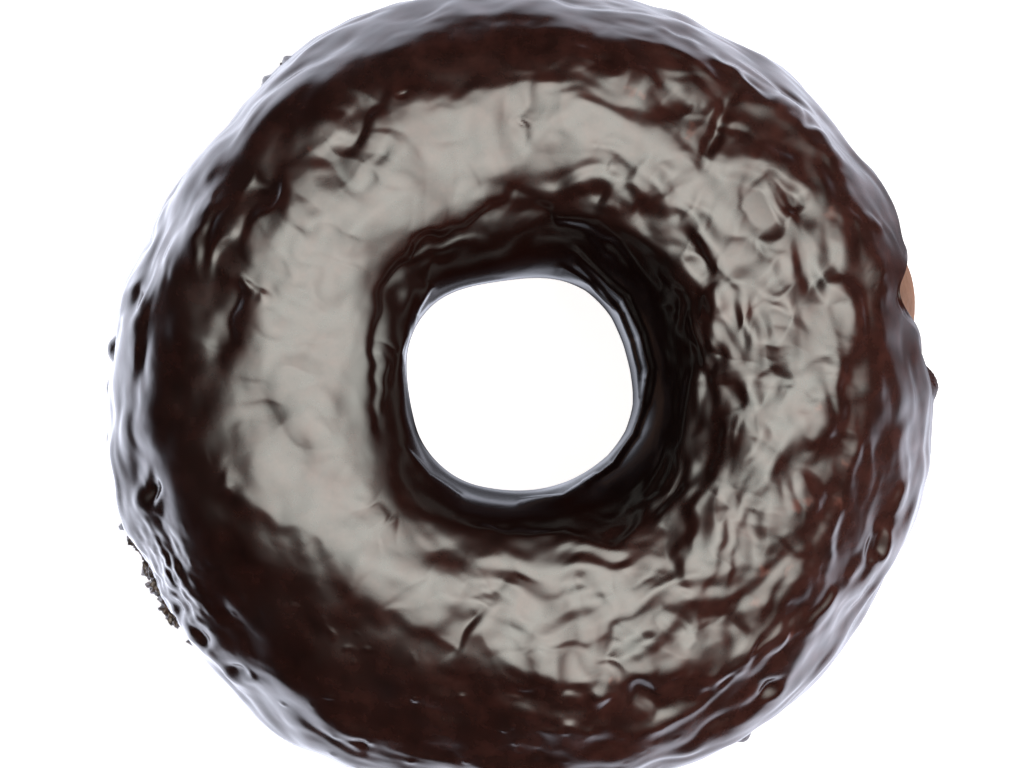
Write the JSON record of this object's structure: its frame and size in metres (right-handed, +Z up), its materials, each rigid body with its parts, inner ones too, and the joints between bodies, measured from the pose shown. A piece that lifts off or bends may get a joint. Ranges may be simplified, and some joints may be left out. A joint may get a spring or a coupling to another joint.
{
  "type": "chocolate glazed ring doughnut",
  "caption": "Round ring doughnut with a glossy, wrinkled dark chocolate coat over fried dough, a rounded hole and a bare flat underside.",
  "frame": {"origin": "middle of the footprint, on the surface that the bare underside rests on", "axes": "+Z up through the hole, +X along the slightly longer way across, +Y across it"},
  "size_m": [0.0817, 0.0813, 0.0283],
  "materials": {
    "dough": "matte",
    "chocolate": "gloss"
  },
  "bodies": {
    "root": {"dough_ring": "dough", "chocolate_glaze": "chocolate"}
  },
  "joints": []
}
